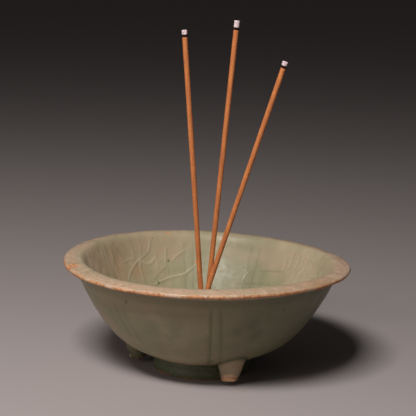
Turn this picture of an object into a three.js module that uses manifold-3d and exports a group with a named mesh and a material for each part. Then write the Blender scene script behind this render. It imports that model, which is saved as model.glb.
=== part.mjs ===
// A small thrown stoneware censer: a wide bowl with an everted lip stands on a turned foot ring,
// with three short cone feet luted under the wall. Incense sticks stand in the ash inside.
// Millimetres, +Z up. The origin is on the table under the middle of the rim, the front is -Y.
import * as THREE from 'three';
import { mergeVertices } from 'three/addons/utils/BufferGeometryUtils.js';
import Module from 'manifold-3d';

const wasm = await Module();
wasm.setup();

const degree = Math.PI / 180;

// Bowl: rim, lip, wall and floor.
const rimRadius = 70;
const rimHeight = 52.9;
const edgeRound = 0.8;
const lipReach = 6.2;
const lipDrop = 3.6;
const crestInset = 7;
const crestRise = 2;
const lipRoll = 4;
const wallThickness = 4.2;
const wallSlopeAtFoot = 35;
const wallPullAtFoot = 11;
const wallSlopeAtNeck = 66;
const wallPullAtNeck = 44;
const floorThickness = 4;
const floorRound = 2.5;
const floorRoundReach = 8;

// The bowl warped in the kiln: the foot is off centre, and the rim leans and twists.
const footShift = -1.07;
const rimLean = -0.36;
const rimTwist = -1.4;

// Foot ring under the bowl.
const ringRadius = 24.5;
const ringHeight = 7;
const ringWidth = 4.4;
const ringTaper = 0.5;
const ringBevel = 0.5;

// Three cone feet, which stop just above the table.
const footCount = 3;
const footNames = ['front', 'right_rear', 'left'];
const footBearing = 24.4;
const footTipRadius = 4.4;
const footTipRound = 0.8;
const footTaper = 13;
const footSlant = 11.5;
const footLift = 2;
const footToRing = 3.4;

// Ash fill.
const ashLevel = 22;
const ashMound = 2;
const ashUnderStick = 3;

// Incense sticks. All three lean from close together in the middle of the ash.
const stickRadius = 1.25;
const charLength = 0.8;
const shortEmberAsh = 2.2;
const longEmberAsh = 3.4;
const leftStickLength = 152.3;
const middleStickLength = 156.7;
const rightStickLength = 144.4;
const leftStickFoot = new THREE.Vector2(-0.61, 1.5);
const middleStickFoot = new THREE.Vector2(-0.77, 6.3);
const rightStickFoot = new THREE.Vector2(-7.41, -4.7);

// Each stick's length, the ash standing on it, where its lower end stands in plan, how far it
// leans from upright, and the compass bearing that it leans towards, counted from +X.
const sticks = [
  {
    name: 'left', length: leftStickLength, emberAsh: shortEmberAsh,
    foot: leftStickFoot, lean: 6.17, bearing: -144.5,
  },
  {
    name: 'middle', length: middleStickLength, emberAsh: longEmberAsh,
    foot: middleStickFoot, lean: 4.65, bearing: -24.6,
  },
  {
    name: 'right', length: rightStickLength, emberAsh: shortEmberAsh,
    foot: rightStickFoot, lean: 16.75, bearing: -7.3,
  },
];

// Clearances and facets.
const slipGap = 0.3;
const bowlSides = 72;
const footSides = 28;
const stickSides = 16;
const wallSteps = 11;
const lipSteps = 3;
const moundSteps = 5;

const neckRadius = rimRadius - lipReach;
const neckHeight = rimHeight - lipDrop;
const crestRadius = rimRadius - crestInset;
const crestHeight = rimHeight + crestRise;
const floorHeight = ringHeight + floorThickness;
const stickFootHeight = floorHeight + ashUnderStick;

const point = (radius, height) => new THREE.Vector2(radius, height);

// The outside of the wall is one cubic curve in radius and height, from the foot to the neck.
const wallStart = point(ringRadius, ringHeight);
const wallEnd = point(neckRadius, neckHeight);
const slope = (angle) => point(Math.cos(angle * degree), Math.sin(angle * degree));
const wallCurve = new THREE.CubicBezierCurve(
  wallStart,
  wallStart.clone().addScaledVector(slope(wallSlopeAtFoot), wallPullAtFoot),
  wallEnd.clone().addScaledVector(slope(wallSlopeAtNeck), -wallPullAtNeck),
  wallEnd,
);

// Points along the wall, moved inwards square to its outside by a depth.
function wallAtDepth(depth) {
  const points = [];
  for (let step = 0; step <= wallSteps; step++) {
    const along = wallCurve.getTangent(step / wallSteps);
    const inward = point(-along.y, along.x);
    points.push(wallCurve.getPoint(step / wallSteps).addScaledVector(inward, depth));
  }
  return points;
}

// The inside of the bowl, from the axis over the floor and up to the neck, drawn in by a gap.
function insideOutline(gap) {
  const bare = wallAtDepth(wallThickness);
  const first = bare.findIndex((p) => p.y > floorHeight + floorRound);
  const wall = wallAtDepth(wallThickness + gap).slice(first);
  const floorEdge = point(wall[0].x - floorRoundReach, floorHeight);
  return [point(0, floorHeight), floorEdge, ...wall];
}

function radiusAt(outline, height) {
  const above = outline.findIndex((p) => p.y > height);
  const low = outline[above - 1];
  const high = outline[above];
  return low.x + (high.x - low.x) * (height - low.y) / (high.y - low.y);
}

function heightAt(outline, radius) {
  const beyond = outline.findIndex((p) => p.x > radius);
  const near = outline[beyond - 1];
  const far = outline[beyond];
  return near.y + (far.y - near.y) * (radius - near.x) / (far.x - near.x);
}

// A profile of radius and height turned round the upright axis.
function turned(profile, sides) {
  const geometry = new THREE.LatheGeometry(profile, sides);
  return geometry.rotateX(Math.PI / 2);
}

// The warp grows from nothing at the floor to its full size at the rim.
function warped(geometry) {
  const position = geometry.getAttribute('position');
  for (let i = 0; i < position.count; i++) {
    const x = position.getX(i);
    const y = position.getY(i);
    const z = position.getZ(i);
    const rise = THREE.MathUtils.clamp((z - floorHeight) / (rimHeight - floorHeight), 0, 1);
    const lift = rimLean * x / rimRadius + rimTwist * x * y / rimRadius ** 2;
    position.setXYZ(i, x + footShift * (1 - rise), y, z + rise * lift);
  }
  return geometry;
}

function toSolid(geometry) {
  const plain = geometry.clone();
  plain.deleteAttribute('normal');
  plain.deleteAttribute('uv');
  const merged = mergeVertices(plain, 1e-4);
  const corners = merged.index.array;
  const kept = [];
  for (let i = 0; i < corners.length; i += 3) {
    const [a, b, c] = corners.slice(i, i + 3);
    if (a !== b && b !== c && c !== a) {
      kept.push(a, b, c);
    }
  }
  return new wasm.Manifold(new wasm.Mesh({
    numProp: 3,
    vertProperties: new Float32Array(merged.getAttribute('position').array),
    triVerts: new Uint32Array(kept),
  }));
}

function fromSolid(solid) {
  const mesh = solid.getMesh();
  const geometry = new THREE.BufferGeometry();
  geometry.setAttribute('position', new THREE.BufferAttribute(mesh.vertProperties, 3));
  geometry.setIndex(new THREE.BufferAttribute(mesh.triVerts, 1));
  return geometry;
}

const finish = (color, roughness) => new THREE.MeshStandardMaterial({ color, roughness, metalness: 0 });
const finishes = {
  glaze: finish(0x9c9a7d, 0.22),
  footGlaze: finish(0x828468, 0.3),
  ash: finish(0xa19c94, 0.95),
  incense: finish(0xa8653a, 0.85),
  char: finish(0x1d1512, 0.9),
  emberAsh: finish(0xe6d8d4, 0.95),
};

const censer = new THREE.Group();

function add(name, geometry, material, holder = censer) {
  geometry.computeVertexNormals();
  const mesh = new THREE.Mesh(geometry, material);
  mesh.name = name;
  holder.add(mesh);
  return mesh;
}

// Bowl: underside, outside wall, lip and inside in one closed outline.
const outsideWall = wallAtDepth(0);
const insideWall = insideOutline(0).filter((p) => p.y < neckHeight - lipRoll);
const insideNeck = insideWall.at(-1);
const lipUnder = new THREE.QuadraticBezierCurve(
  wallEnd,
  wallEnd.clone().addScaledVector(slope(wallSlopeAtNeck), lipDrop / 2),
  point(rimRadius - edgeRound, rimHeight - edgeRound),
);
const lipEdge = new THREE.ArcCurve(
  rimRadius - edgeRound, rimHeight, edgeRound, -Math.PI / 2, Math.PI / 2, false,
);
const lipTop = new THREE.QuadraticBezierCurve(
  point(rimRadius - edgeRound, rimHeight + edgeRound),
  point(crestRadius + crestInset / 2, crestHeight),
  point(crestRadius, crestHeight),
);
const lipInside = new THREE.QuadraticBezierCurve(
  point(crestRadius, crestHeight),
  point(insideNeck.x + (crestHeight - insideNeck.y) / Math.tan(wallSlopeAtNeck * degree), crestHeight),
  insideNeck,
);
const bowlProfile = [
  point(0, ringHeight),
  ...outsideWall,
  ...lipUnder.getPoints(lipSteps).slice(1),
  ...lipEdge.getPoints(lipSteps + 1).slice(1),
  ...lipTop.getPoints(lipSteps).slice(1),
  ...lipInside.getPoints(lipSteps).slice(1, -1),
  ...insideWall.reverse(),
];
add('bowl', warped(turned(bowlProfile, bowlSides)), finishes.glaze);

// Foot ring: its flat top meets the flat underside of the bowl.
const ringProfile = [
  point(ringRadius - ringWidth, 0),
  point(ringRadius - ringBevel, 0),
  point(ringRadius, ringBevel),
  point(ringRadius - ringTaper, ringHeight),
  point(ringRadius - ringWidth - ringTaper, ringHeight),
  point(ringRadius - ringWidth - ringBevel, ringBevel),
  point(ringRadius - ringWidth, 0),
];
const ring = add('foot_ring', turned(ringProfile, bowlSides), finishes.footGlaze);
ring.position.x = footShift;

// The filled outside of the bowl, grown by the gap, which trims the top of each foot.
const trimProfile = [
  point(0, ringHeight - slipGap),
  point(ringRadius + slipGap, ringHeight - slipGap),
  ...wallAtDepth(-slipGap).slice(1),
  point(0, neckHeight),
];
const trim = toSolid(warped(turned(trimProfile, bowlSides)));

// Cone feet: each leans outwards as it rises, and its top follows the wall.
const tipCircle = ringRadius + footToRing + footTipRadius;
const reachRatio = Math.tan(footSlant * degree) + Math.tan(footTaper * degree);
const footTopHeight = heightAt(outsideWall, tipCircle + footTipRadius + reachRatio * ringHeight * 2);
const footHeight = footTopHeight - footLift;
const footProfile = [
  point(0, 0),
  point(footTipRadius - footTipRound, 0),
  point(footTipRadius, footTipRound),
  point(footTipRadius + footHeight * Math.tan(footTaper * degree), footHeight),
  point(0, footHeight),
];
for (let i = 0; i < footCount; i++) {
  const cone = turned(footProfile, footSides);
  cone.applyMatrix4(new THREE.Matrix4().makeShear(0, 0, 0, 0, Math.tan(footSlant * degree), 0));
  cone.translate(tipCircle, 0, footLift);
  cone.rotateZ((footBearing - 90) * degree + i * 2 * Math.PI / footCount);
  cone.translate(footShift, 0, 0);
  add(`foot_${footNames[i]}`, fromSolid(toSolid(cone).subtract(trim)), finishes.glaze);
}

// Each stick stands in a group that is turned to its lean, with its lower end at the origin.
function stickGroup(stick) {
  const holder = new THREE.Group();
  holder.position.set(stick.foot.x, stick.foot.y, stickFootHeight);
  holder.rotation.set(0, stick.lean * degree, stick.bearing * degree, 'ZYX');
  holder.updateMatrixWorld(true);
  return holder;
}

function rod(radius, length, from) {
  const geometry = new THREE.CylinderGeometry(radius, radius, length, stickSides);
  return geometry.rotateX(Math.PI / 2).translate(0, 0, from + length / 2);
}

// Ash fill: it lies on the floor, follows the wall and is heaped a little in the middle.
const ashOutline = insideOutline(slipGap);
const ashEdge = radiusAt(ashOutline, ashLevel);
const ashProfile = [...ashOutline.filter((p) => p.y < ashLevel)];
for (let step = 0; step <= moundSteps; step++) {
  const share = 1 - step / moundSteps;
  ashProfile.push(point(ashEdge * share, ashLevel + ashMound * (1 - share ** 2)));
}
let ash = toSolid(warped(turned(ashProfile, bowlSides)));
const socketDepth = ashLevel + ashMound - stickFootHeight;
for (const stick of sticks) {
  const socket = rod(stickRadius + slipGap, 2 * socketDepth + slipGap, -slipGap);
  ash = ash.subtract(toSolid(socket.applyMatrix4(stickGroup(stick).matrixWorld)));
}
add('ash_bed', fromSolid(ash), finishes.ash);

// Sticks: unburnt incense, then the charred band and the ash left standing at the tip.
for (const stick of sticks) {
  const holder = stickGroup(stick);
  const charStart = stick.length - stick.emberAsh - charLength;
  const charFrom = charStart + slipGap;
  const ashFrom = charStart + charLength + slipGap;
  add(`stick_${stick.name}`, rod(stickRadius, charStart, 0), finishes.incense, holder);
  add(`char_${stick.name}`, rod(stickRadius, charLength - slipGap, charFrom), finishes.char, holder);
  add(`tip_${stick.name}`, rod(stickRadius, stick.emberAsh - slipGap, ashFrom), finishes.emberAsh, holder);
  censer.add(holder);
}

export default censer;
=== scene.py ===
"""A small celadon censer: a warped stoneware bowl on a foot ring, three cone feet and incense in ash."""
import math

import bpy
import numpy as np
from mathutils import Euler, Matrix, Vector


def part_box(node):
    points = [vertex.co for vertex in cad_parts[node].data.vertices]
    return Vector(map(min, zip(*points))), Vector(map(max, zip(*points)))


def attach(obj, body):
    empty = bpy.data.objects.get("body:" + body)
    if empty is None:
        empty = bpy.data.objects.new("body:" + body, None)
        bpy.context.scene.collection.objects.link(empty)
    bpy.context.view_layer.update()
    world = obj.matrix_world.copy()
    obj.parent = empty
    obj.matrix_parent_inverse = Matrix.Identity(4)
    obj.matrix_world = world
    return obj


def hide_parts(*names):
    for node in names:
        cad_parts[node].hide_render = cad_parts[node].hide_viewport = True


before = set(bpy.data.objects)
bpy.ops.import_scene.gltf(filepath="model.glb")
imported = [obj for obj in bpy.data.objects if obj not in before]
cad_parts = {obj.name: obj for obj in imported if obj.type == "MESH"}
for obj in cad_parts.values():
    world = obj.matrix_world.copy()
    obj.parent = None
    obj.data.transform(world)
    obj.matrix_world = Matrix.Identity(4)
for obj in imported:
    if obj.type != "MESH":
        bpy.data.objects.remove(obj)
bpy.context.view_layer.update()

# The censer stands on a pale table. The camera is 0.6 m away, looks down a little and is
# rolled a little, as in the photograph, whose frame is 416 pixels wide and high.
CAMERA_PLACE = (0.0, -0.6, 0.1919)
CAMERA_PITCH = math.radians(10.6)
CAMERA_ROLL = math.radians(1.7)
CAMERA_YAW = math.radians(0.04)
SENSOR_WIDTH = 36.0
FRAME_PIXELS = 416
FOCAL_PIXELS = 1255.2
TABLE_SIZE = 30.0
TABLE_COLOUR = (0.362, 0.31, 0.296, 1)
TABLE_ROUGHNESS = 0.9

camera_data = bpy.data.cameras.new("camera")
camera_data.sensor_width = SENSOR_WIDTH
camera_data.lens = FOCAL_PIXELS / FRAME_PIXELS * SENSOR_WIDTH
camera = bpy.data.objects.new("camera", camera_data)
camera.location = CAMERA_PLACE
facing = Euler((math.pi / 2 - CAMERA_PITCH, 0, CAMERA_YAW)).to_matrix()
camera.rotation_euler = (facing @ Euler((0, 0, CAMERA_ROLL)).to_matrix()).to_euler()
bpy.context.scene.collection.objects.link(camera)
bpy.context.scene.camera = camera
bpy.context.scene.view_settings.view_transform = "Standard"


class Wire:
    """One value in a material. Arithmetic on wires and numbers adds Math nodes."""

    def __init__(self, shade, socket):
        self.shade = shade
        self.socket = socket

    def math(self, operation, *values):
        links = dict(enumerate(values))
        return self.shade.node("Math", {"operation": operation}, links)

    def __add__(self, other):
        return self.math("ADD", self, other)

    __radd__ = __add__

    def __sub__(self, other):
        return self.math("SUBTRACT", self, other)

    def __rsub__(self, other):
        return self.math("SUBTRACT", other, self)

    def __mul__(self, other):
        return self.math("MULTIPLY", self, other)

    __rmul__ = __mul__

    def clamp(self):
        return self.shade.node("Clamp", {}, {0: self})

    def ramp(self, low, high):
        """0 at low and past it, 1 at high and past it, and smooth between them."""
        links = {0: self, 1: low, 2: high}
        return self.shade.node("MapRange", {"interpolation_type": "SMOOTHSTEP"}, links)


class Shade:
    """A material built from nodes."""

    def __init__(self, name):
        self.material = bpy.data.materials.new(name)
        self.material.use_nodes = True
        self.tree = self.material.node_tree
        self.tree.nodes.clear()

    def node(self, kind, settings, links, output=0):
        """Adds a node of a kind, sets it up, fills its sockets and returns one output."""
        made = self.tree.nodes.new("ShaderNode" + kind)
        for key, value in settings.items():
            setattr(made, key, value)
        for key, value in links.items():
            if isinstance(value, Wire):
                self.tree.links.new(value.socket, made.inputs[key])
            else:
                made.inputs[key].default_value = value
        return Wire(self, made.outputs[output])

    def place(self):
        return self.node("TexCoord", {}, {}, "Object")

    def attribute(self, name):
        return self.node("Attribute", {"attribute_name": name}, {}, "Fac")

    def noise(self, scale, detail=3.0, stretch=(1, 1, 1), roughness=0.5):
        """Cloudy values about 0.5 on Object coordinates, scale in cells per metre."""
        spot = self.node("Mapping", {}, {"Vector": self.place(), "Scale": stretch})
        links = {"Vector": spot, "Scale": scale, "Detail": detail, "Roughness": roughness}
        return self.node("TexNoise", {}, links, "Fac")

    def blend(self, share, first, second):
        """The first colour where share is 0, the second where it is 1."""
        return self.node("Mix", {"data_type": "RGBA"}, {0: share, 6: first, 7: second}, 2)

    def surface(self, colour, roughness, bump=None, depth=0.0, **constants):
        """Finishes the material with a colour, a roughness, a bump of a depth in metres, and
        values that are the same all over it."""
        links = {"Base Color": colour, "Roughness": roughness}
        for key, value in constants.items():
            links[key.replace("_", " ").title().replace("Ior", "IOR")] = value
        if bump is not None:
            relief = {"Height": bump, "Distance": depth, "Strength": 1.0}
            links["Normal"] = self.node("Bump", {}, relief)
        shader = self.node("BsdfPrincipled", {}, links)
        end = self.tree.nodes.new("ShaderNodeOutputMaterial")
        self.tree.links.new(shader.socket, end.inputs["Surface"])
        return self.material


half = TABLE_SIZE / 2
table_corners = [(-half, -half, 0), (half, -half, 0), (half, half, 0), (-half, half, 0)]
table_mesh = bpy.data.meshes.new("table")
table_mesh.from_pydata(table_corners, [], [(0, 1, 2, 3)])
table = bpy.data.objects.new("table", table_mesh)
table_mesh.materials.append(Shade("table").surface(TABLE_COLOUR, TABLE_ROUGHNESS, specular_ior_level=0.1))
bpy.context.scene.collection.objects.link(table)


# Soft studio light: one soft box near the censer, above it and a little to its left, a weak
# wide fill from the left and a dim even surround.
WORLD_LEVEL = 0.034
WORLD_COLOUR = (1, 0.985, 0.97, 1)
SOFT_BOX = {"name": "soft_box", "place": (-0.175, -0.488, 0.65), "size": (0.28, 0.13), "watts": 6.9}
LEFT_FILL = {"name": "left_fill", "place": (-0.85, -0.65, 0.35), "size": (0.8, 0.6), "watts": 2.2}
AIM = (0.0, 0.0, 0.045)

for lamp in (SOFT_BOX, LEFT_FILL):
    light = bpy.data.lights.new(lamp["name"], "AREA")
    light.shape = "RECTANGLE"
    light.size, light.size_y = lamp["size"]
    light.energy = lamp["watts"]
    light_object = bpy.data.objects.new(lamp["name"], light)
    light_object.location = lamp["place"]
    aim = [a - b for a, b in zip(lamp["place"], AIM)]
    turn_to_aim = math.atan2(aim[0], -aim[1])
    tilt = math.atan2(math.hypot(aim[0], aim[1]), aim[2])
    light_object.rotation_euler = (tilt, 0, turn_to_aim)
    bpy.context.scene.collection.objects.link(light_object)

world = bpy.data.worlds.new("studio")
world.use_nodes = True
world.node_tree.nodes["Background"].inputs["Color"].default_value = WORLD_COLOUR
world.node_tree.nodes["Background"].inputs["Strength"].default_value = WORLD_LEVEL
bpy.context.scene.world = world


# Bowl: thrown in grey stoneware with a lip turned outwards, carved while leather hard, dipped
# in celadon glaze and warped in the kiln. Lengths are in millimetres, bearings in degrees
# from the front (-Y), positive towards +X.
MM = 0.001
RIM_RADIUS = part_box("bowl")[1].x / MM
RING_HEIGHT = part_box("foot_ring")[1].z / MM
RING_RADIUS = (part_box("foot_ring")[1].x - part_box("foot_ring")[0].x) / 2 / MM
FOOT_SHIFT = (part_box("foot_ring")[1].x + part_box("foot_ring")[0].x) / 2 / MM
RIM_HEIGHT = 52.9
EDGE_ROUND = 1.1
LIP_REACH = 6.2
LIP_DROP = 3.6
CREST_INSET = 7.0
CREST_RISE = 2.0
LIP_ROLL = 8.0
NECK_PULL = 1.4
UNDER_EDGE_PULL = (-2.2, -1.2)
OVER_EDGE_PULL = (-2.0, 1.2)
CREST_PULL = (2.4, 0.1)
INNER_CREST_PULL = (-4.0, -0.1)
WALL_THICKNESS = 4.2
WALL_SLOPES = (35, 66)
WALL_PULLS = (11, 44)
UNDERSIDE_RADII = (0, 12, 20, 23)
FLOOR_HEIGHT = RING_HEIGHT + 4
FLOOR_FILLET = 2.5
FLOOR_INSET = 8
RIM_LEAN = -0.36
RIM_TWIST = -1.4
BOWL_COLUMNS = 680
OUTSIDE_ROWS = 26
LIP_ROWS = 15
INSIDE_ROWS = 96
CURVE_STEPS = 400


def cubic(start, start_pull, end_pull, end, share):
    """Points on the Bezier curve with these four control points, at shares from 0 to 1."""
    share = share[:, None]
    rest = 1 - share
    corners = (start, start_pull, end_pull, end)
    weights = (rest**3, 3 * rest**2 * share, 3 * rest * share**2, share**3)
    return sum(np.array(corner) * weight for corner, weight in zip(corners, weights))


def heading(angle):
    """The step of length 1 that climbs at this angle: its cosine outwards, its sine upwards."""
    return np.array([math.cos(math.radians(angle)), math.sin(math.radians(angle))])


def wall_outline(rows, depth):
    """Radius and height along the wall: a cubic from foot to neck, moved inwards by a depth
    square to itself, at evenly spaced lengths."""
    start = np.array([RING_RADIUS, RING_HEIGHT])
    end = np.array([RIM_RADIUS - LIP_REACH, RIM_HEIGHT - LIP_DROP])
    start_pull = start + heading(WALL_SLOPES[0]) * WALL_PULLS[0]
    end_pull = end - heading(WALL_SLOPES[1]) * WALL_PULLS[1]
    fine = cubic(start, start_pull, end_pull, end, np.linspace(0, 1, CURVE_STEPS))
    along = np.gradient(fine, axis=0)
    along /= np.linalg.norm(along, axis=1)[:, None]
    fine = fine + depth * np.stack([-along[:, 1], along[:, 0]], 1)
    return spaced(fine, rows)


def spaced(outline, rows):
    """The same outline with rows at evenly spaced lengths."""
    length = np.concatenate([[0], np.cumsum(np.linalg.norm(np.diff(outline, axis=0), axis=1))])
    at = np.linspace(0, length[-1], rows)
    return np.stack([np.interp(at, length, outline[:, 0]), np.interp(at, length, outline[:, 1])], 1)


def lip_outline(crest):
    """Radius and height over the lip, from the outside neck round the thin edge to the crest,
    as two cubics and a half circle between them."""
    neck = np.array([RIM_RADIUS - LIP_REACH, RIM_HEIGHT - LIP_DROP])
    edge = np.array([RIM_RADIUS - EDGE_ROUND, RIM_HEIGHT])
    share = np.linspace(0, 1, 24)
    turn = np.linspace(-math.pi / 2, math.pi / 2, 16)
    neck_pull = neck + heading(WALL_SLOPES[1]) * NECK_PULL
    under = cubic(neck, neck_pull, edge + UNDER_EDGE_PULL, edge + (0, -EDGE_ROUND), share)
    round_edge = edge + EDGE_ROUND * np.stack([np.cos(turn), np.sin(turn)], 1)
    over = cubic(edge + (0, EDGE_ROUND), edge + OVER_EDGE_PULL, crest + CREST_PULL, crest, share)
    return spaced(np.concatenate([under, round_edge[1:], over[1:]]), LIP_ROWS)


def inside_outline(crest, wall):
    """Radius and height down the inside, from the crest of the lip: a cubic that rolls over
    into the wall's own outline, which is given from the bottom up."""
    climb = wall[-1] - wall[-5]
    rolled_in = wall[-1] + climb / np.linalg.norm(climb) * LIP_ROLL
    roll = cubic(crest, crest + INNER_CREST_PULL, rolled_in, wall[-1], np.linspace(0, 1, 40))
    return spaced(np.concatenate([roll[:-1], wall[::-1]]), INSIDE_ROWS)


def apart(bearing, other):
    """The turn from one bearing to another, from -180 to 180 degrees."""
    return (bearing - other + 180) % 360 - 180


def waves(seed, bearing, length, count, round_waves, wavelength):
    """Smooth hand-made unevenness about zero: a sum of sine waves, whole ones round the axis."""
    draw = np.random.default_rng(seed)
    total = np.zeros(np.broadcast(bearing, length).shape)
    for _ in range(count):
        turns = draw.integers(-round_waves, round_waves + 1)
        rate = draw.uniform(-2 * math.pi, 2 * math.pi) / wavelength
        total += np.sin(turns * np.radians(bearing) + rate * length + draw.uniform(0, 2 * math.pi))
    return total / math.sqrt(count / 2)


def skin(name, grid, attributes=None, closed_rows=False):
    """A closed smooth mesh over a grid of points in millimetres, whose columns go once round.
    Its first and last rows are each one pole point, unless closed_rows joins the two."""
    rows, columns, _ = grid.shape
    index = np.arange(rows * columns).reshape(rows, columns)
    if closed_rows:
        index = np.concatenate([index, index[:1]])
        keep = np.arange(rows * columns)
    else:
        index[0] = index[0, 0]
        index[-1] = index[-1, 0]
        keep = np.unique(index)
        index = np.searchsorted(keep, index)
    right = np.roll(index, -1, axis=1)
    quads = np.stack([index[:-1], right[:-1], right[1:], index[1:]], -1)
    faces = quads.reshape(-1, 4)
    if not closed_rows:
        faces = quads[1:-1].reshape(-1, 4)
    points = grid.reshape(-1, 3)[keep] * MM
    middle = points[faces].mean(1)
    across = np.cross(points[faces[:, 2]] - points[faces[:, 0]], points[faces[:, 3]] - points[faces[:, 1]])
    outward = (middle * across).sum() > 0
    all_faces = faces.tolist()
    if not closed_rows:
        all_faces += quads[0][:, [0, 2, 3]].tolist() + quads[-1][:, [0, 1, 2]].tolist()
    if not outward:
        all_faces = [face[::-1] for face in all_faces]
    mesh = bpy.data.meshes.new(name)
    mesh.from_pydata(points.tolist(), [], all_faces)
    mesh.polygons.foreach_set("use_smooth", np.ones(len(all_faces), bool))
    for label, values in (attributes or {}).items():
        layer = mesh.attributes.new(label, "FLOAT", "POINT")
        layer.data.foreach_set("value", values.reshape(-1)[keep].astype(np.float32))
    piece = bpy.data.objects.new(name, mesh)
    bpy.context.scene.collection.objects.link(piece)
    return piece


def kiln_warp(x, y, z):
    """The bowl's warp. Its rise is 0 up to the floor and 1 at the rim. The foot's shift along x
    fades as the rise grows, and z gains the rise times a lean in x and a twist in x times y."""
    rise = np.clip((z - FLOOR_HEIGHT) / (RIM_HEIGHT - FLOOR_HEIGHT), 0, 1)
    lift = RIM_LEAN * x / RIM_RADIUS + RIM_TWIST * x * y / RIM_RADIUS**2
    return np.stack([x + FOOT_SHIFT * (1 - rise), y, z + rise * lift], -1)


# Carving: eight pairs of shallow upright lines outside and eight inside, and between those
# inside leaf sprays and combed strokes, whose raised edges show pale through the glaze. To one
# side of each stroke a shallow flank darkens the glaze, partly as pooled glaze and partly as
# painted shade. The thrown wall is uneven, and inside it bulges a little on the left, below the lip.
OUTSIDE_PAIRS = {4: 1.0, 49: 0.4, 94: 0.6, 139: 0.5, 184: 0.7, 229: 0.5, 274: 0.6, -42: 0.35}
OUTSIDE_PAIR_LINES = ((-0.5, 1.0), (0.5, 0.7))
OUTSIDE_PAIR_GAP = 4.1
OUTSIDE_PAIR_SLANT = 0.09
OUTSIDE_PAIR_SPREAD = 0.03
OUTSIDE_PAIR_OFFSET = 0.2
OUTSIDE_PAIR_DROP = 6.5
OUTSIDE_PAIR_END = 9
OUTSIDE_PAIR_FADE = 3
OUTSIDE_LINE_WIDTH = 0.85
OUTSIDE_LINE_DEPTH = 0.22
INSIDE_PAIRS = (121, 154, 190, 239, 285, 330, 20, 70)
INSIDE_PAIR_HALF = 2.4
INSIDE_PAIR_TOP = 49
INSIDE_PAIR_END = 16
INSIDE_PAIR_STRENGTH = 0.55
INSIDE_PAIR_WIDTH = 0.55
LINE_WIDTH = 0.42
RIDGE_HEIGHT = 0.15
RIDGE_LEVEL = 0.6
RIDGE_UNEVEN = 0.45
FLANK = 0.55
FLANK_WIDTH = 0.6
FLANK_DEPTH = 0.08
FLANK_STRENGTH = 0.8
COMBED_STRENGTH = 0.95
WALL_STRETCH = 1.12
CARVED_RADIUS = 52
LIP_MARGIN = 2.2
LIP_FADE = 4.5
LIP_CALM = 0.6
LIP_WOBBLE = 0.05
RINGS_INSIDE = 0.02
RINGS_OUTSIDE = 0.045
THROWN = 0.16
GLAZE_FLOW = 0.035
FOOT_CALM = 2
MIDDLE_CALM = 30
BULGE = {"depth": 1.4, "bearing": 266, "width": 26, "height": 43, "above": 7, "below": 15}
SPRAY = (
    (1.0, ((31.6, 51), (32.2, 47.8), (33, 45.9), (36.8, 43.6), (41.2, 41.9), (45, 39.3), (48.6, 36.9),
           (51, 34))),
    (0.9, ((39.2, 42), (40.2, 38.4), (40, 34.7), (40, 31))),
    (0.7, ((38.2, 41.6), (34.4, 39.6), (32, 40.1), (29, 42.8))),
    (0.9, ((34.2, 40.2), (31.5, 41.2), (28.8, 43.2))),
    (0.5, ((28.8, 46.1), (28.6, 43.4), (28.8, 37.6))),
    (0.9, ((22.6, 47.1), (23.4, 42.9), (23.6, 38.4))),
    (0.9, ((23.6, 38.4), (27.6, 36.1), (32, 33.4))),
    (0.6, ((23, 38.2), (23.2, 34.7), (23.2, 32.8))),
    (0.8, ((12.4, 45.9), (15, 44.1), (18.6, 41.9), (19.2, 40.9))),
    (1.0, ((5.4, 38.9), (7.4, 37.6), (12.6, 34.1), (18.2, 33.4), (22.4, 32.8), (28, 31.6), (33.6, 30))),
    (0.4, ((24.2, 50.3), (23.2, 47.8))),
    (0.7, ((37.4, 50), (37.6, 46.6), (38, 43.9))),
    (0.8, ((42.8, 50.1), (42.2, 44.1))),
    (0.9, ((53.6, 50), (52.2, 45.6), (50.4, 42), (46, 43.8), (43, 43.1))),
    (0.6, ((57.8, 50.9), (58.2, 45.6), (61, 40.7))),
)
SPRAY_BEARINGS = (180, 270, 0, 60)
COMBED = (
    (257, 53, -1, 7), (254, 51.5, -1.6, 6), (251, 51.2, -1.6, 6.4), (247, 52, -1.2, 5), (243.4, 53.4, -1, 6),
    (134.4, 48, -0.6, 7), (130.6, 49, 0.2, 6), (126, 50, 0, 6.4), (122.4, 50.1, 0.8, 6),
    (118.8, 50.3, -1, 9), (116, 50.3, -0.4, 7), (113.6, 50.1, -0.2, 8), (110, 50.4, -1.6, 6),
    (107, 50, -3, 3.6), (101, 52, 1.8, 5),
)
LEAF_RIGHT = ((157.6, 33.6), (156.8, 35.4), (155.6, 36.8))
SCORED = (((148, 38.4), (141, 39.4), (134.8, 40.2)), ((161.6, 30.9), (150, 32), (139.4, 33.2)))


def line_distance(bearing, height, radius, route):
    """Distance in mm from each point of a wall to a route of (bearing, height) points, taken
    on the wall laid flat: the shortest distance to any of its straight stretches."""
    route = np.array(route, float)
    nearest = np.full(bearing.shape, np.inf)
    for (b0, h0), (b1, h1) in zip(route[:-1], route[1:]):
        dx = np.radians(apart(bearing, b0)) * radius
        dy = (height - h0) * WALL_STRETCH
        ex = math.radians(b1 - b0) * CARVED_RADIUS
        ey = (h1 - h0) * WALL_STRETCH
        share = np.clip((dx * ex + dy * ey) / (ex * ex + ey * ey), 0, 1)
        nearest = np.minimum(nearest, np.hypot(dx - share * ex, dy - share * ey))
    return nearest


def groove(distance, width=LINE_WIDTH):
    """1 in the middle of a line and 0 beside it, as a bell curve."""
    return np.exp(-(distance / width) ** 2)


def rounded(route):
    """The same route with its corners cut twice, each to points a quarter along either side."""
    route = np.array(route, float)
    for _ in range(2):
        near = 0.75 * route[:-1] + 0.25 * route[1:]
        far = 0.25 * route[:-1] + 0.75 * route[1:]
        between = np.stack([near, far], 1).reshape(-1, 2)
        route = np.concatenate([route[:1], between[1:-1], route[-1:]])
    return route


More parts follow.
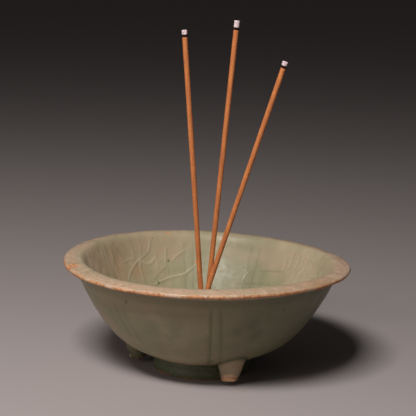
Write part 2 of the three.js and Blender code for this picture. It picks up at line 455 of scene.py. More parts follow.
outside = wall_outline(OUTSIDE_ROWS, 0)
inside_wall = wall_outline(200, WALL_THICKNESS)
above_floor = inside_wall[:, 1] > FLOOR_HEIGHT + FLOOR_FILLET
below_roll = inside_wall[:, 1] < RIM_HEIGHT - LIP_DROP - LIP_ROLL
crest = np.array([RIM_RADIUS - CREST_INSET, RIM_HEIGHT + CREST_RISE])
lip = lip_outline(crest)
inside = inside_outline(crest, inside_wall[above_floor & below_roll])
underside = np.array([[reach, RING_HEIGHT] for reach in UNDERSIDE_RADII])
floor_edge = inside[-1, 0] - FLOOR_INSET
floor = np.array([[floor_edge + 4, FLOOR_HEIGHT + 0.7], [floor_edge, FLOOR_HEIGHT], [8, FLOOR_HEIGHT],
                  [0, FLOOR_HEIGHT]])
outline = np.concatenate([underside, outside, lip[1:], inside[1:], floor])
crest_row = len(underside) + OUTSIDE_ROWS + LIP_ROWS - 2
row = np.arange(len(outline))[:, None]
is_outside = (row >= len(underside)) & (row < len(underside) + OUTSIDE_ROWS + 3)
is_inside = (row >= crest_row) & (row < crest_row + INSIDE_ROWS)
along = np.gradient(outline, axis=0)
along /= np.linalg.norm(along, axis=1)[:, None]
normal = np.stack([along[:, 1], -along[:, 0]], 1)
length = np.concatenate([[0], np.cumsum(np.linalg.norm(np.diff(outline, axis=0), axis=1))])[:, None]
bearing = np.linspace(0, 360, BOWL_COLUMNS, endpoint=False)[None, :]
radius = np.broadcast_to(outline[:, 0][:, None], (len(outline), BOWL_COLUMNS))
height = np.broadcast_to(outline[:, 1][:, None], (len(outline), BOWL_COLUMNS))
bearing = np.broadcast_to(bearing, radius.shape)

below_rim = RIM_HEIGHT - height
pair_middle = below_rim * OUTSIDE_PAIR_SLANT - OUTSIDE_PAIR_OFFSET
pair_gap = OUTSIDE_PAIR_GAP + below_rim * OUTSIDE_PAIR_SPREAD
fade = np.clip((below_rim - OUTSIDE_PAIR_DROP) / OUTSIDE_PAIR_FADE, 0, 1)
fade = fade * np.clip((height - OUTSIDE_PAIR_END) / OUTSIDE_PAIR_FADE, 0, 1)
carved = np.zeros(radius.shape)
for middle, strength in OUTSIDE_PAIRS.items():
    offset = np.radians(apart(bearing, middle)) * radius
    for side, depth in OUTSIDE_PAIR_LINES:
        line = depth * groove(offset - pair_middle - side * pair_gap, OUTSIDE_LINE_WIDTH)
        carved = np.maximum(carved, is_outside * strength * fade * line)

ridge = np.zeros(radius.shape)
flank_pool_and_shade = np.zeros(radius.shape)
routes = []
for turn in SPRAY_BEARINGS:
    routes += [(strength, [(turn + b, h) for b, h in route]) for strength, route in SPRAY]
routes += [(COMBED_STRENGTH, [(b, top), (b + lean, top - drop)]) for b, top, lean, drop in COMBED]
routes += [(1.0, LEAF_RIGHT)]
for strength, route in routes:
    route = rounded(route)
    distance = line_distance(bearing, height, radius, route)
    ridge = np.maximum(ridge, is_inside * strength * groove(distance))
    # Painted shade: the flank is taken one way off each stroke, so only that side darkens.
    distance = line_distance(bearing + FLANK, height + FLANK, radius, route)
    flank_pool_and_shade = np.maximum(flank_pool_and_shade, is_inside * FLANK_STRENGTH * strength * groove(distance, FLANK_WIDTH))
for middle in INSIDE_PAIRS:
    for side in (-INSIDE_PAIR_HALF, INSIDE_PAIR_HALF):
        route = [(middle + side, INSIDE_PAIR_TOP), (middle + side, INSIDE_PAIR_END)]
        line = groove(line_distance(bearing, height, radius, route), INSIDE_PAIR_WIDTH)
        flank_pool_and_shade = np.maximum(flank_pool_and_shade, is_inside * INSIDE_PAIR_STRENGTH * line)
for route in SCORED:
    line = groove(line_distance(bearing, height, radius, route))
    flank_pool_and_shade = np.maximum(flank_pool_and_shade, FLANK_STRENGTH * is_inside * line)
ridge *= np.clip(RIDGE_LEVEL + RIDGE_UNEVEN * waves(17, bearing, length, 12, 12, 9), 0.1, 1)

on_lip = np.clip((radius - RIM_RADIUS + CREST_INSET + LIP_MARGIN) / LIP_FADE, 0, 1)
on_lip = on_lip * (row > len(underside) + OUTSIDE_ROWS)
rings = np.where(is_inside, RINGS_INSIDE, RINGS_OUTSIDE) * waves(5, bearing, length, 14, 2, 4.5)
thrown = THROWN * waves(3, bearing, length, 8, 4, 60) + rings
glaze_flow = GLAZE_FLOW * waves(8, bearing, length, 40, 60, 7)
lip_wobble = LIP_WOBBLE * waves(11, bearing, length, 14, 24, 9) * on_lip
relief = thrown * (1 - LIP_CALM * on_lip) + glaze_flow + lip_wobble
relief += RIDGE_HEIGHT * ridge - FLANK_DEPTH * flank_pool_and_shade - OUTSIDE_LINE_DEPTH * carved
bulge_reach = np.where(height > BULGE["height"], BULGE["above"], BULGE["below"])
bulge = groove(height - BULGE["height"], bulge_reach)
bulge = bulge * groove(apart(bearing, BULGE["bearing"]), BULGE["width"])
relief += BULGE["depth"] * is_inside * bulge
relief *= np.clip((height - RING_HEIGHT) / FOOT_CALM, 0, 1) * np.clip(radius / MIDDLE_CALM, 0, 1)
grid_radius = radius + normal[:, 0][:, None] * relief
grid_height = height + normal[:, 1][:, None] * relief
angle = np.radians(bearing)
bowl_points = kiln_warp(grid_radius * np.sin(angle), -grid_radius * np.cos(angle), grid_height)

# Glaze: worn off the outer edge of the lip, chipped and specked, toasted brown inside on the
# left and stained outside. Outside it is darkened as thick glaze, with painted shade added under
# the lip and on the right side, and it is paler low at the front as painted light from the table.
# It pools in the carving, with painted shade beside each inner stroke, and at the foot ring, with
# painted shade on the underside there. Inside it is paler below the lip, most on the left, and
# the lip's right end is creamier as a painted highlight.
CHIPS = ((-70, 68.4, 52.4, 4.6), (-63, 68.8, 52.6, 1.7), (-78, 68.6, 52.9, 1.4), (200.6, 61.5, 53.6, 1.1),
         (118, 66, 54, 0.9), (186.2, 54.6, 40, 0.8), (129.4, 59.3, 50.1, 0.8), (68, 32.8, 11, 0.8))
SPECKS = ((4, 64.5, 54.7, 0.9), (9, 68.4, 53.6, 0.6), (209.6, 60.2, 52, 0.8), (201.8, 54.9, 40.5, 0.9),
          (210.2, 49, 30.6, 1.0), (158.4, 54, 38.9, 0.7), (243.4, 58.2, 47.3, 0.5), (-35.6, 61.8, 45, 1.0),
          (36.2, 60.9, 43, 1.0), (6.4, 39.8, 14.7, 1.5))
TOASTED = ((256, 57.5, 47, 10), (236, 56, 43, 8), (222, 53, 37, 5))
STAINS = ((26, 54, 30.4, 3.4), (22, 57, 36, 4), (16, 56, 33, 3), (-14, 57, 36, 6), (-25, 56, 33, 5))
CHIP_STRENGTH = 1.3
EDGE_DROP = 0.4
WORN = {"share": 0.76, "uneven": 0.18, "width": 1.8}
# Shares of the dark pooled colour: the first is glaze pooled in the outer lines, the second pooled glaze and
# painted shade beside the inner strokes, the third glaze pooled at the foot ring's join and painted shade on
# the underside just above it.
POOL_AND_SHADE = {"carved": 0.55, "flank_pool_and_shade": 0.4, "ring": 0.8, "ring_width": 1.6}
# Darkening of the outer wall: all round partly thick glaze and partly painted shade, painted shade on the
# right side and under the lip, and real stains.
THICK_GLAZE_AND_SHADE = {"all": 0.5, "right": 0.32, "neck": 0.25, "stain": 0.25}
NECK = {"from": 45, "fade": 3}
# Painted light: the outer wall is made paler low at the front, standing in for light from the table below.
LOW_FRONT_PAINTED_LIGHT = {"share": 0.27, "bearing": -15, "width": 35, "below": 19, "fade": 6}
# The glaze inside is made paler below the lip, strongest on the left and weaker on the right.
PALE_HEIGHT = 46.0
PALE_SPREAD = 8.0
PALE_ALL_ROUND = 0.1
PALE_SIDES = ((272, 24, 0.9), (95, 34, 0.12))
# Painted highlight: the lip's right end is made creamier and freer of brown flecks.
LIP_PAINTED_HIGHLIGHT = {"share": 0.6, "bearing": 84, "width": 20}
RUBBED = {
    "all": 0.12, "lip": 0.3, "edge": 0.3, "edge_width": 3.5,
    "front_right": 0.7, "bearing": 50, "width": 11,
}


def spots(places):
    """1 at each spot given as bearing, radius, height and size, fading to 0 as a bell curve."""
    total = np.zeros(radius.shape)
    for spot_bearing, spot_radius, spot_height, size in places:
        across = np.radians(apart(bearing, spot_bearing)) * spot_radius
        away = np.sqrt(across**2 + (radius - spot_radius) ** 2 + (height - spot_height) ** 2)
        total = np.maximum(total, np.exp(-(away / size) ** 2))
    return total


edge_distance = np.hypot(radius - RIM_RADIUS, height - RIM_HEIGHT + EDGE_DROP)
worn = WORN["share"] + WORN["uneven"] * waves(21, bearing, length, 20, 34, 12)
worn = worn * groove(edge_distance, WORN["width"])
bare = np.clip(np.maximum(worn, CHIP_STRENGTH * spots(CHIPS)), 0, 1)
pooled_and_shade = np.maximum(POOL_AND_SHADE["carved"] * carved, POOL_AND_SHADE["flank_pool_and_shade"] * flank_pool_and_shade)
# Painted shade: the outer wall just above the foot ring is darkened, partly as glaze pooled at the join.
at_ring_pool_and_shade = groove(height - RING_HEIGHT, POOL_AND_SHADE["ring_width"])
pooled_and_shade = np.maximum(pooled_and_shade, is_outside * POOL_AND_SHADE["ring"] * at_ring_pool_and_shade)
# Painted light: less darkening low on the front of the outer wall.
low = groove(apart(bearing, LOW_FRONT_PAINTED_LIGHT["bearing"]), LOW_FRONT_PAINTED_LIGHT["width"])
low = low * np.clip((LOW_FRONT_PAINTED_LIGHT["below"] - height) / LOW_FRONT_PAINTED_LIGHT["fade"], 0, 1)
# Painted shade: the outer wall is darkened more on the right side and just under the lip.
thick_glaze_and_shade = THICK_GLAZE_AND_SHADE["all"] + THICK_GLAZE_AND_SHADE["right"] * np.sin(np.radians(bearing)) - LOW_FRONT_PAINTED_LIGHT["share"] * low
thick_glaze_and_shade += THICK_GLAZE_AND_SHADE["neck"] * np.clip((height - NECK["from"]) / NECK["fade"], 0, 1)
pale_below_lip = PALE_ALL_ROUND + sum(share * groove(apart(bearing, at), width) for at, width, share in PALE_SIDES)
pale_below_lip *= is_inside * groove(height - PALE_HEIGHT, PALE_SPREAD)
# Painted highlight on the lip's right end.
painted_lip_highlight = groove(apart(bearing, LIP_PAINTED_HIGHLIGHT["bearing"]), LIP_PAINTED_HIGHLIGHT["width"])
front_right = groove(apart(bearing, RUBBED["bearing"]), RUBBED["width"])
rubbed = RUBBED["all"] + (RUBBED["lip"] + RUBBED["front_right"] * front_right) * on_lip
rubbed += RUBBED["edge"] * groove(edge_distance, RUBBED["edge_width"])
bowl_marks = {
    "pool_and_shade": pooled_and_shade,
    "ridge": ridge,
    "bare": bare,
    "speck": spots(SPECKS),
    "lip": on_lip * (1 + LIP_PAINTED_HIGHLIGHT["share"] * painted_lip_highlight),
    "thick_glaze_and_shade": is_outside * (thick_glaze_and_shade + THICK_GLAZE_AND_SHADE["stain"] * spots(STAINS)),
    "toasted": is_inside * spots(TOASTED),
    "rubbed": rubbed * (1 - painted_lip_highlight),
    "pale_below_lip": pale_below_lip,
}
bowl = skin("celadon_bowl", bowl_points, bowl_marks)


CELADON = {
    "warm": (0.4, 0.316, 0.197, 1), "green": (0.265, 0.24, 0.138, 1), "blush": (0.425, 0.286, 0.19, 1),
    "mottle": (0.295, 0.267, 0.157, 1), "toasted": (0.35, 0.215, 0.115, 1), "paler_below_lip": (0.6, 0.45, 0.32, 1),
    "thick_glaze_and_shade": (0.1, 0.105, 0.055, 1), "pooled_and_shade": (0.062, 0.072, 0.034, 1), "ridge": (0.62, 0.5, 0.34, 1),
    "lip_crust": (0.45, 0.29, 0.19, 1), "lip_cream": (0.57, 0.39, 0.285, 1),
    "rubbed": (0.375, 0.206, 0.098, 1), "speck": (0.065, 0.09, 0.03, 1),
    "clay_dark": (0.34, 0.131, 0.05, 1), "clay_pale": (0.55, 0.281, 0.138, 1),
    "clay_fresh": (0.53, 0.32, 0.19, 1),
}


def celadon(name):
    """Olive-grey celadon: cloudy, greener and darker where it pools, pale over raised lines, thin
    and cream on the lip, rubbed brown in flecks and gone to bare clay at the edge, finely pitted.
    Paler below the lip inside, darker outside as thick glaze and painted shade, with painted
    shade beside the inner strokes and a painted highlight on the lip's right end."""
    shade = Shade(name)
    cloud = shade.noise(30, 5, (1, 1, 0.7), 0.6).ramp(0.4, 0.62)
    mottle = shade.noise(140, 5, (1, 1, 0.8), 0.6).ramp(0.36, 0.64)
    fine = shade.noise(900, 3)
    blush = shade.noise(19, 4, (1, 1, 2.2)).ramp(0.44, 0.6)
    crust = shade.noise(430, 5, roughness=0.7).ramp(0.36, 0.64)
    glaze = shade.blend(cloud, CELADON["warm"], CELADON["green"])
    glaze = shade.blend(blush * 0.6, glaze, CELADON["blush"])
    glaze = shade.blend(mottle * 0.42, glaze, CELADON["mottle"])
    glaze = shade.blend(shade.attribute("toasted") * 0.75, glaze, CELADON["toasted"])
    paler_below_lip = (shade.attribute("pale_below_lip") * (0.75 + mottle * 0.35)).clamp()
    glaze = shade.blend(paler_below_lip, glaze, CELADON["paler_below_lip"])
    # This dark colour is thick glaze and painted shade: on the outer wall, under the lip, on the right, on
    # the foot ring and on the left foot.
    glaze = shade.blend(shade.attribute("thick_glaze_and_shade"), glaze, CELADON["thick_glaze_and_shade"])
    pool_and_shade = (shade.attribute("pool_and_shade") * 0.85).clamp()
    glaze = shade.blend(pool_and_shade, glaze, CELADON["pooled_and_shade"])
    glaze = shade.blend(shade.attribute("ridge") * 0.48, glaze, CELADON["ridge"])
    cream = (shade.attribute("lip") * (0.45 + mottle * 0.45)).clamp()
    glaze = shade.blend(cream, glaze, shade.blend(crust, CELADON["lip_crust"], CELADON["lip_cream"]))
    rubbed = (shade.noise(850, 5, roughness=0.65) + shade.attribute("rubbed") * 0.2).ramp(0.6, 0.74)
    glaze = shade.blend(rubbed * 0.6, glaze, CELADON["rubbed"])
    speck = (shade.attribute("speck") + (fine - 0.5) * 0.8).ramp(0.3, 0.95)
    glaze = shade.blend(speck * 0.85, glaze, CELADON["speck"])
    bare_edge = (shade.attribute("bare") + (fine - 0.5) * 0.9).ramp(0.42, 0.68)
    clay_cloud = shade.noise(600, 4).ramp(0.35, 0.65)
    clay = shade.blend(clay_cloud, CELADON["clay_dark"], CELADON["clay_pale"])
    clay = shade.blend(shade.attribute("fresh"), clay, CELADON["clay_fresh"])
    colour = shade.blend(bare_edge, glaze, clay)
    roughness = 0.38 + mottle * 0.12 + bare_edge * 0.4 + shade.attribute("pale_below_lip") * 0.4
    pits = shade.noise(1500, 2).ramp(0.2, 0.4) + shade.noise(260, 3) * 1.2
    return shade.surface(colour, roughness, pits, 0.00009, specular_ior_level=0.34)


bowl.data.materials.append(celadon("celadon"))
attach(bowl, "censer")
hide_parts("bowl")


# Foot ring: turned in the same clay, glazed on its outer face, which has run dark at the join,
# and wiped bare along the edge that it stands on. Its glaze is also darkened all over, most near
# its top, as painted shade under the bowl.
RING_WIDTH = 4.4
RING_TAPER = 0.5
RING_COLUMNS = 360
RING_ROWS = 72
RING_UNEVEN = 0.09
GLAZE_LINE = 0.55
GLAZE_LINE_UNEVEN = 0.22
ring_corners = np.array([
    (RING_RADIUS - RING_WIDTH, 0), (RING_RADIUS - 0.7, 0), (RING_RADIUS - 0.15, 0.25), (RING_RADIUS, 0.8),
    (RING_RADIUS - 0.1, 2.5), (RING_RADIUS - 0.45, 5), (RING_RADIUS - RING_TAPER, RING_HEIGHT),
    (RING_RADIUS - RING_WIDTH - RING_TAPER, RING_HEIGHT), (RING_RADIUS - RING_WIDTH - 0.4, 1),
    (RING_RADIUS - RING_WIDTH, 0),
])
ring_outline = spaced(ring_corners, RING_ROWS)[:-1]
ring_bearing = np.linspace(0, 360, RING_COLUMNS, endpoint=False)[None, :]
ring_height = ring_outline[:, 1][:, None]
ring_uneven = RING_UNEVEN * waves(31, ring_bearing, ring_height, 14, 9, 14)
ring_uneven = ring_uneven * np.clip(ring_height / FOOT_CALM, 0, 1) * (ring_height < RING_HEIGHT - 0.3)
ring_radius = ring_outline[:, 0][:, None] + ring_uneven
ring_angle = np.radians(ring_bearing)
ring_points = np.stack([
    ring_radius * np.sin(ring_angle) + FOOT_SHIFT,
    -ring_radius * np.cos(ring_angle),
    ring_height + 0 * ring_angle,
], -1)
glaze_line = GLAZE_LINE + GLAZE_LINE_UNEVEN * waves(33, ring_bearing, 0, 14, 14, 1)
ring_bare = np.clip(0.5 + (glaze_line - ring_height) * 1.6, 0, 1)
inner_face = ring_outline[:, 0][:, None] < RING_RADIUS - RING_WIDTH / 2
ring_runs_and_shade = groove(ring_height - RING_HEIGHT + 1.9, 0.6) + groove(ring_height - RING_HEIGHT, 0.5)
# Painted shade: the ring's whole glaze is darkened, and lines near its top are darker still, partly glaze
# run at the join.
ring_marks = {
    "pool_and_shade": 0.3 + ring_runs_and_shade + 0 * ring_bare,
    "bare": np.where(inner_face, 1, ring_bare),
    "rubbed": 0.25 + 0 * ring_bare,
    "thick_glaze_and_shade": 1.0 + 0 * ring_bare,
}
foot_ring = skin("foot_ring_turned", ring_points, ring_marks, closed_rows=True)
foot_ring.data.materials.append(celadon("celadon_foot"))
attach(foot_ring, "censer")
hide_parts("foot_ring")


# Cone feet: rolled by hand, pressed on under the wall and smoothed in, glazed with the bowl.
# Their tips broke bare when the censer was prised off its kiln prop.
# Each foot's glaze value darkens it; the left foot's high value is painted shade, as that foot stands in the
# bowl's shadow.
FEET = {
    "foot_front": {"bearing": 24.4, "slant": 8, "glaze": 0.33},
    "foot_right_rear": {"bearing": 144.4, "slant": 8, "glaze": 0.33},
    "foot_left": {"bearing": 264.4, "slant": 5, "glaze": 0.88},
}
TIP_RADIUS = 4.0
TIP_GAP = 3.4
FOOT_TAPER = math.tan(math.radians(13))
BROKEN_BEARING = -24
FOOT_LIFT = 2.0
FOOT_FLARE = 0.35
FOOT_FLARE_REACH = 1.3
FOOT_SINK = 1.1
TIP_ROUND = 1.1
TIP_ZONE = 2.6
TIP_CIRCLE = RING_RADIUS + TIP_GAP + TIP_RADIUS
LEDGE = ((0.5, 0.9, 0.6), (-0.7, 2.2, 1.1))
CRACK_HEIGHT = 1.7
CRACK_WIDTH = 0.45
BARE_TIP = 0.8
BROKEN_RISE = 4.2
FOOT_COLUMNS = 128
TIP_ROWS = 14
SIDE_ROWS = 60
SEARCH_STEPS = 900
JOIN_POOL = 0.95
JOIN_POOL_WIDTH = 0.9


def wall_height(at_radius):
    """The height of the bowl's outer wall at a radius, read off its outline."""
    return np.interp(at_radius, outside[:, 0], outside[:, 1])


def bowl_mark(label):
    """One of the bowl's marks, as an array with a value for each vertex."""
    values = np.empty(len(bowl.data.vertices), np.float32)
    bowl.data.attributes[label].data.foreach_get("value", values)
    return values


def pool_round(foot_bearing, slant):
    """Darkens the bowl's glaze in a line round a foot: on the outer face its pool mark falls off
    as a bell curve with the distance from the foot's slanted cone."""
    places = np.empty(len(bowl.data.vertices) * 3, np.float32)
    bowl.data.vertices.foreach_get("co", places)
    x, y, z = places.reshape(-1, 3).T / MM
    reach = TIP_CIRCLE + (z - FOOT_LIFT) * slant
    way = math.radians(foot_bearing)
    away = np.hypot(x - FOOT_SHIFT - reach * math.sin(way), y + reach * math.cos(way))
    distance = away - TIP_RADIUS - (z - FOOT_LIFT) * FOOT_TAPER
    outer_face = bowl_mark("thick_glaze_and_shade") > 0
    round_foot = JOIN_POOL * groove(distance - 0.3, JOIN_POOL_WIDTH) * outer_face
    marks = np.maximum(bowl_mark("pool_and_shade"), round_foot).astype(np.float32)
    bowl.data.attributes["pool_and_shade"].data.foreach_set("value", marks)


def cone_foot(node, foot_bearing, slant_angle, glaze_depth_and_shade, seed):
    """A cone about a slanted line. Each upright line of points climbs until it meets the wall,
    which is searched for along it, flares there and ends a little inside the wall's clay. One
    side of the tip has a broken ledge. Rows go from the tip's pole upwards."""
    slant = math.tan(math.radians(slant_angle))
    turn = np.linspace(0, 360, FOOT_COLUMNS, endpoint=False)[None, :]
    broken_side = np.clip(1.5 * np.cos(np.radians(turn - BROKEN_BEARING)) - 0.2, 0, 1)
    outward = np.cos(np.radians(turn))
    sideways = np.sin(np.radians(turn))
    search = np.linspace(FOOT_LIFT + TIP_ROUND, RIM_HEIGHT, SEARCH_STEPS)[:, None]
    search_size = TIP_RADIUS + (search - FOOT_LIFT) * FOOT_TAPER
    search_east = TIP_CIRCLE + (search - FOOT_LIFT) * slant + search_size * outward
    above_wall = search > wall_height(np.hypot(search_east, search_size * sideways))
    join = search[np.argmax(above_wall, axis=0), 0][None, :]
    top = join + FOOT_SINK

    tip_share = np.linspace(0, 1, TIP_ROWS)[:, None]
    climb = np.linspace(0, 1, SIDE_ROWS)[1:, None]
    tip_size = TIP_RADIUS * np.sin(tip_share * math.pi / 2) ** 0.8 + 0 * turn
    tip_height = FOOT_LIFT + TIP_ROUND * (1 - np.cos(tip_share * math.pi / 2)) ** 1.3 + 0 * turn
    side_height = FOOT_LIFT + TIP_ROUND + climb * (top - FOOT_LIFT - TIP_ROUND)
    side_size = TIP_RADIUS + (side_height - FOOT_LIFT) * FOOT_TAPER
    side_size += FOOT_FLARE * np.exp(-np.clip(join - side_height, 0, None) / FOOT_FLARE_REACH)
    level = np.concatenate([tip_height, side_height, np.full((1, FOOT_COLUMNS), top.mean())])
    above_tip = level - FOOT_LIFT
    size = np.concatenate([tip_size, side_size, np.zeros((1, FOOT_COLUMNS))])

    size = size * (1 + 0.03 * waves(seed, turn, level, 10, 3, 12))
    ledge = sum(amount * groove(above_tip - rise, width) for amount, rise, width in LEDGE)
    full = np.clip(size / TIP_RADIUS, 0, 1)
    size = size + full * broken_side * ledge
    tip_zone = np.clip(1 - above_tip / TIP_ZONE, 0, 1)
    up = level + tip_zone * full * (0.3 * waves(seed + 1, turn, level * 4, 16, 5, 6) + 0.25)
    east = size * outward + TIP_CIRCLE + above_tip * slant
    north = size * sideways
    spin = math.radians(foot_bearing - 90)
    x = east * math.cos(spin) - north * math.sin(spin) + FOOT_SHIFT
    y = east * math.sin(spin) + north * math.cos(spin)
    points = np.stack([x, y, up], -1)
    line = FOOT_LIFT + BARE_TIP + BROKEN_RISE * broken_side**2 + 0.5 * waves(seed + 2, turn, 0, 10, 5, 1)
    crack = groove(above_tip - CRACK_HEIGHT + 0.3 * waves(seed + 4, turn, 0, 8, 5, 1), CRACK_WIDTH)
    patches = np.clip(waves(seed + 3, turn, level, 12, 3, 7) - 0.3, 0, 1)
    at_join = groove(np.clip(join - level, 0, None), 1.3)
    open_glaze = (1 - at_join) * (1.2 - glaze_depth_and_shade)
    marks = {
        "pool_and_shade": JOIN_POOL * at_join,
        "bare": np.clip(0.5 + (line - up) * 1.2, 0, 1),
        "fresh": broken_side * (1 - 0.9 * crack),
        "rubbed": (0.2 + 0.8 * patches) * open_glaze,
        "lip": 0.35 * open_glaze,
        # Darker towards the tip, and on the left foot painted shade through its higher glaze value.
        "thick_glaze_and_shade": np.clip(glaze_depth_and_shade + 0.3 * np.clip((8 - above_tip) / 4, 0, 1), 0, 1),
    }
    foot = skin(f"{node}_cone", points, marks)
    pool_round(foot_bearing, slant)
    foot.data.materials.append(bpy.data.materials["celadon"])
    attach(foot, "censer")
    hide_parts(node)


for number, (node, foot) in enumerate(FEET.items()):
    cone_foot(node, foot["bearing"], foot["slant"], foot["glaze"], 40 + 10 * number)


# Ash fill: sifted incense ash on the bowl's floor, lumpy and mounded a little. It is heaped up
# round each stick, which stands in a small dent.
ASH_LEVEL = 22.0
ASH_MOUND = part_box("ash_bed")[1].z / MM - ASH_LEVEL
ASH_GAP = 0.3
ASH_COLUMNS = 300
MOUND_ROWS = 90
EDGE_CALM = 4
LUMPS = ((16, 0.3), (7, 0.16), (3.5, 0.08), (2, 0.05))
WAVES_PER_LUMP = 16
HEAP = {"height": 0.5, "radius": 2.6, "width": 1.2}
DENT = {"depth": 1.0, "width": 1.5}
STICK_RADIUS = 1.25
STICK_FOOT = FLOOR_HEIGHT + 3
STICKS = {
    "left": {"foot": (-0.61, 1.5), "lean": 6.17, "bearing": -144.5, "length": 152.3, "ember_ash": 2.2},
    "middle": {"foot": (-0.77, 6.3), "lean": 4.65, "bearing": -24.6, "length": 156.7, "ember_ash": 3.4},
    "right": {"foot": (-7.41, -4.7), "lean": 16.75, "bearing": -7.3, "length": 144.4, "ember_ash": 2.2},
}
ash_side = wall_outline(60, WALL_THICKNESS + ASH_GAP)
over_fillet = ash_side[:, 1] > FLOOR_HEIGHT + FLOOR_FILLET
ash_side = ash_side[over_fillet & (ash_side[:, 1] < ASH_LEVEL - 0.2)]
ash_edge = np.interp(ASH_LEVEL, inside[::-1, 1], inside[::-1, 0]) - ASH_GAP
mound_share = np.linspace(1, 0, MOUND_ROWS)
mound = np.stack([ash_edge * mound_share, ASH_LEVEL + ASH_MOUND * (1 - mound_share**2)], 1)
ash_base = np.array([[0, FLOOR_HEIGHT], [ash_side[0, 0] - FLOOR_INSET, FLOOR_HEIGHT]])
ash_outline = np.concatenate([ash_base, ash_side, mound])
ash_angle = np.radians(np.linspace(0, 360, ASH_COLUMNS, endpoint=False)[None, :])
ash_x = ash_outline[:, 0][:, None] * np.sin(ash_angle)
ash_y = -ash_outline[:, 0][:, None] * np.cos(ash_angle)
ash_z = ash_outline[:, 1][:, None] + 0 * ash_angle
on_top = (np.arange(len(ash_outline)) > len(ash_outline) - MOUND_ROWS)[:, None]
draw = np.random.default_rng(61)
lumps = np.zeros(ash_x.shape)
for wavelength, amount in LUMPS:
    for _ in range(WAVES_PER_LUMP):
        way = draw.uniform(0, 2 * math.pi)
        rate = 2 * math.pi / wavelength * draw.uniform(0.7, 1.3)
        phase = draw.uniform(0, 2 * math.pi)
        across = ash_x * math.cos(way) + ash_y * math.sin(way)
        lumps += amount / math.sqrt(WAVES_PER_LUMP) * np.sin(rate * across + phase)


def exit_from_ash(stick):
    """Where a stick leaves the ash: its foot moved along its lean up to the top of the ash, less
    the shift that the warp gives the ash at that height."""
    top = ASH_LEVEL + ASH_MOUND
    reach = (top - STICK_FOOT) * math.tan(math.radians(stick["lean"]))
    way = math.radians(stick["bearing"])
    shift = FOOT_SHIFT * (1 - (top - FLOOR_HEIGHT) / (RIM_HEIGHT - FLOOR_HEIGHT))
    return stick["foot"][0] + reach * math.cos(way) - shift, stick["foot"][1] + reach * math.sin(way)


for stick in STICKS.values():
    exit_x, exit_y = exit_from_ash(stick)
    away = np.hypot(ash_x - exit_x, ash_y - exit_y)
    lumps += HEAP["height"] * groove(away - HEAP["radius"], HEAP["width"])
    lumps -= DENT["depth"] * groove(away, DENT["width"])
ash_z = ash_z + on_top * lumps * np.clip((ash_edge - np.hypot(ash_x, ash_y)) / EDGE_CALM, 0, 1)
ash_bed = skin("ash_fill", kiln_warp(ash_x, ash_y, ash_z))


def sifted_ash():
    """Grey-beige powder with paler flakes and darker crumbs."""
    shade = Shade("sifted_ash")
    crumbs = shade.noise(1100, 5, roughness=0.7)
    drift = shade.noise(70, 3)
    grey = shade.blend(drift.ramp(0.3, 0.7), (0.44, 0.395, 0.345, 1), (0.52, 0.48, 0.425, 1))
    flaked = shade.blend(crumbs.ramp(0.56, 0.72), grey, (0.7, 0.66, 0.6, 1))
    colour = shade.blend(crumbs.ramp(0.42, 0.3), flaked, (0.21, 0.19, 0.16, 1))
    return shade.surface(colour, 0.95, crumbs, 0.0002, specular_ior_level=0.1)


ash_bed.data.materials.append(sifted_ash())
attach(ash_bed, "censer")
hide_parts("ash_bed")


# Incense sticks: coreless rods of pressed sandalwood powder. Each has burnt at its tip to a
# charred band and a short stub of standing ash. They pull out of the ash along their length.
CHAR_LENGTH = 1.1
STICK_SIDES = 32
STICK_END_ROUND = 0.25
FIRST_RING = 0.06
RING_STEP = 0.5
MOST_RINGS = 320
HEAT_REACH = 1.6


def rod(name, stick, low, high, swelling, seed, roughness):
    """A closed round rod between two lengths up a stick, with rounded ends: rings about the
    leaning line, wider than the stick by a swelling and roughened by waves. Its points keep
    how near they are to its lower end, as heat: 1 there, falling evenly to 0."""
    steps = min(max(10, int((high - low) / RING_STEP)), MOST_RINGS)
    level = np.linspace(low, high, steps)
    level = np.concatenate([[low], [low + FIRST_RING], level[1:-1], [high - FIRST_RING], [high]])[:, None]
    turn = np.linspace(0, 360, STICK_SIDES, endpoint=False)[None, :]
    inset = np.minimum(level - low, high - level)
    rounding = STICK_END_ROUND * np.clip(1 - inset / STICK_END_ROUND, 0, 1) ** 2
    size = STICK_RADIUS + swelling - rounding
    size = size * (1 + roughness * waves(seed, turn, level, 24, 6, 2.5))
    size[0] = 0
    size[-1] = 0
    lean = math.radians(stick["lean"])
    way = math.radians(stick["bearing"])
    spine = np.array([math.sin(lean) * math.cos(way), math.sin(lean) * math.sin(way), math.cos(lean)])
    side = np.array([-math.sin(way), math.cos(way), 0])
    front = np.cross(side, spine)
    start = np.array([stick["foot"][0], stick["foot"][1], STICK_FOOT])
    ring = np.cos(np.radians(turn))[..., None] * front + np.sin(np.radians(turn))[..., None] * side
    points = start + level[..., None] * spine + size[..., None] * ring
    heat = np.clip(1 - (level - low) / HEAT_REACH, 0, 1) + 0 * turn
    return skin(name, points, {"heat": heat})


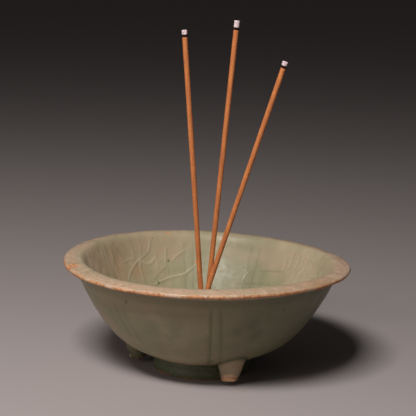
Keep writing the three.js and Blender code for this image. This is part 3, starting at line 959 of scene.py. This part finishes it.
def pressed_incense():
    """Orange-brown powder pressed through a die: fine grain, darker streaks along the stick."""
    shade = Shade("pressed_incense")
    grain = shade.noise(2600, 3)
    streak = shade.noise(700, 3, (1, 1, 0.12))
    warm = shade.blend(streak.ramp(0.3, 0.7), (0.4, 0.11, 0.026, 1), (0.55, 0.172, 0.042, 1))
    colour = shade.blend(grain.ramp(0.56, 0.74), warm, (0.64, 0.255, 0.082, 1))
    colour = shade.blend(grain.ramp(0.42, 0.3), colour, (0.2, 0.068, 0.022, 1))
    return shade.surface(colour, 0.8, grain + streak, 0.00012)


def charred():
    """Matt black char with brown flecks."""
    shade = Shade("charred")
    flecks = shade.noise(2400, 3).ramp(0.4, 0.7)
    colour = shade.blend(flecks, (0.006, 0.004, 0.003, 1), (0.035, 0.016, 0.01, 1))
    return shade.surface(colour, 0.95, flecks, 0.0001, specular_ior_level=0.1)


def standing_ash():
    """Pale ash in flakes, redder towards the ember below it."""
    shade = Shade("standing_ash")
    flakes = shade.noise(1700, 4, (1, 1, 2)).ramp(0.3, 0.65)
    pale = shade.blend(flakes, (0.55, 0.37, 0.37, 1), (0.86, 0.68, 0.68, 1))
    colour = shade.blend(shade.attribute("heat") * 0.8, pale, (0.7, 0.25, 0.25, 1))
    return shade.surface(colour, 0.95, flakes, 0.0002)


incense_finish = pressed_incense()
char_finish = charred()
ember_ash_finish = standing_ash()
for number, (name, stick) in enumerate(STICKS.items()):
    body = f"{name}_stick"
    char_from = stick["length"] - stick["ember_ash"] - CHAR_LENGTH
    ash_from = char_from + CHAR_LENGTH
    seed = 70 + 10 * number

    unburnt = rod(f"incense_{name}", stick, 0, char_from + 0.2, 0, seed, 0.008)
    unburnt.data.materials.append(incense_finish)
    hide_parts(f"stick_{name}")

    band = rod(f"char_band_{name}", stick, char_from - 0.1, ash_from + 0.15, 0.03, seed + 1, 0.02)
    band.data.materials.append(char_finish)
    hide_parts(f"char_{name}")

    stub = rod(f"ember_ash_{name}", stick, ash_from, stick["length"], 0.04, seed + 2, 0.05)
    stub.data.materials.append(ember_ash_finish)
    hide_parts(f"tip_{name}")
    for piece in (unburnt, band, stub):
        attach(piece, body)
